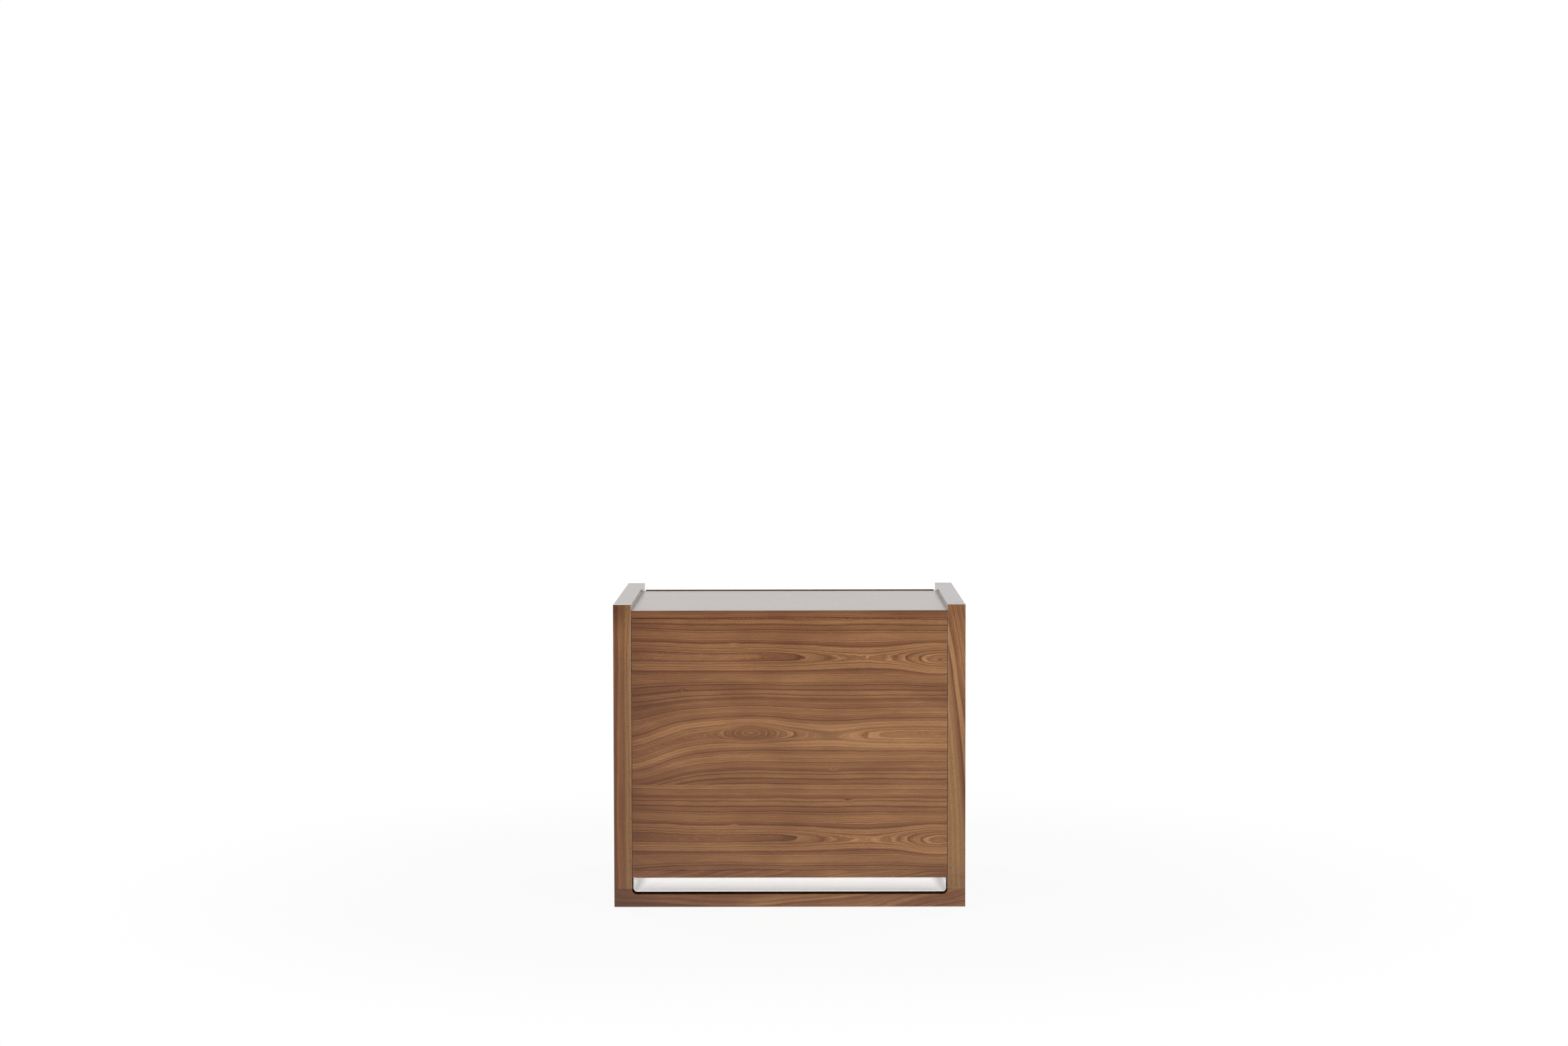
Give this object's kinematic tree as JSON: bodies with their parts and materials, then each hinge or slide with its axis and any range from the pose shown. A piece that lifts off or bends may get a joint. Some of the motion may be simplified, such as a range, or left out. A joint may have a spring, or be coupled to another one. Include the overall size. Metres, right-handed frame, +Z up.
{
  "type": "dresser",
  "caption": "Small walnut chest with raised sides, a recessed top and a deep drawer on ball slides, opened by a white scoop pull.",
  "frame": {"origin": "on the floor, under the middle of the chest's outline", "axes": "+X to the right when facing the drawer, +Y to the back, +Z up"},
  "size_m": [0.559, 0.457, 0.484],
  "materials": {
    "walnut_solid": "satin lacquer",
    "walnut_veneer": "satin lacquer",
    "birch": "clear lacquer",
    "powder_coat": "white fine-texture powder coat",
    "zinc_steel": "bright zinc plate",
    "screw_steel": "plated",
    "bumper_rubber": "matte",
    "glide_nylon": "matte"
  },
  "bodies": {
    "case": {"back_panel": "walnut_veneer", "bottom_panel": "birch", "front_bottom_rail": "walnut_solid", "left_back_cleat": "birch", "left_cabinet_member": "zinc_steel", "left_front_cabinet_screw": "screw_steel", "left_front_glide": "glide_nylon", "left_front_stile": "walnut_solid", "left_rear_bumper": "bumper_rubber", "left_rear_cabinet_screw": "screw_steel", "left_rear_glide": "glide_nylon", "left_rear_stile": "walnut_solid", "left_side_panel": "walnut_veneer", "left_sill": "walnut_solid", "left_top_cleat": "birch", "rear_bottom_rail": "walnut_solid", "right_back_cleat": "birch", "right_cabinet_member": "zinc_steel", "right_front_cabinet_screw": "screw_steel", "right_front_glide": "glide_nylon", "right_front_stile": "walnut_solid", "right_rear_bumper": "bumper_rubber", "right_rear_cabinet_screw": "screw_steel", "right_rear_glide": "glide_nylon", "right_rear_stile": "walnut_solid", "right_side_panel": "walnut_veneer", "right_sill": "walnut_solid", "right_top_cleat": "birch", "top_front_lipping": "walnut_solid", "top_panel": "walnut_veneer"},
    "drawer": {"box_back": "birch", "box_bottom": "birch", "box_front": "birch", "drawer_front": "walnut_veneer", "grip_rail": "walnut_solid", "left_box_side": "birch", "left_drawer_member": "zinc_steel", "left_front_drawer_screw": "screw_steel", "left_lower_front_screw": "screw_steel", "left_rear_drawer_screw": "screw_steel", "left_scoop_screw": "screw_steel", "left_upper_front_screw": "screw_steel", "middle_scoop_screw": "screw_steel", "pull_scoop": "powder_coat", "right_box_side": "birch", "right_drawer_member": "zinc_steel", "right_front_drawer_screw": "screw_steel", "right_lower_front_screw": "screw_steel", "right_rear_drawer_screw": "screw_steel", "right_scoop_screw": "screw_steel", "right_upper_front_screw": "screw_steel"},
    "left_inner_cage": {"left_inner_ball_cage": "screw_steel"},
    "left_middle": {"left_middle_member": "zinc_steel"},
    "left_outer_cage": {"left_outer_ball_cage": "screw_steel"},
    "right_inner_cage": {"right_inner_ball_cage": "screw_steel"},
    "right_middle": {"right_middle_member": "zinc_steel"},
    "right_outer_cage": {"right_outer_ball_cage": "screw_steel"}
  },
  "joints": [
    {"name": "drawer_slide", "type": "slide", "parent": "case", "child": "drawer", "axis": [0, -1, 0], "range_m": [0, 0.34]},
    {"name": "left_middle_slide", "type": "slide", "parent": "case", "child": "left_middle", "axis": [0, -1, 0], "range_m": [0, 0.17]},
    {"name": "left_outer_cage_slide", "type": "slide", "parent": "case", "child": "left_outer_cage", "axis": [0, -1, 0], "range_m": [0, 0.085]},
    {"name": "left_inner_cage_slide", "type": "slide", "parent": "case", "child": "left_inner_cage", "axis": [0, -1, 0], "range_m": [0, 0.255]},
    {"name": "right_middle_slide", "type": "slide", "parent": "case", "child": "right_middle", "axis": [0, -1, 0], "range_m": [0, 0.17]},
    {"name": "right_outer_cage_slide", "type": "slide", "parent": "case", "child": "right_outer_cage", "axis": [0, -1, 0], "range_m": [0, 0.085]},
    {"name": "right_inner_cage_slide", "type": "slide", "parent": "case", "child": "right_inner_cage", "axis": [0, -1, 0], "range_m": [0, 0.255]}
  ],
  "couplings": [
    {"joint": "left_middle_slide", "follows": "drawer_slide", "ratio": 0.5},
    {"joint": "left_outer_cage_slide", "follows": "drawer_slide", "ratio": 0.25},
    {"joint": "left_inner_cage_slide", "follows": "drawer_slide", "ratio": 0.75},
    {"joint": "right_middle_slide", "follows": "drawer_slide", "ratio": 0.5},
    {"joint": "right_outer_cage_slide", "follows": "drawer_slide", "ratio": 0.25},
    {"joint": "right_inner_cage_slide", "follows": "drawer_slide", "ratio": 0.75}
  ]
}
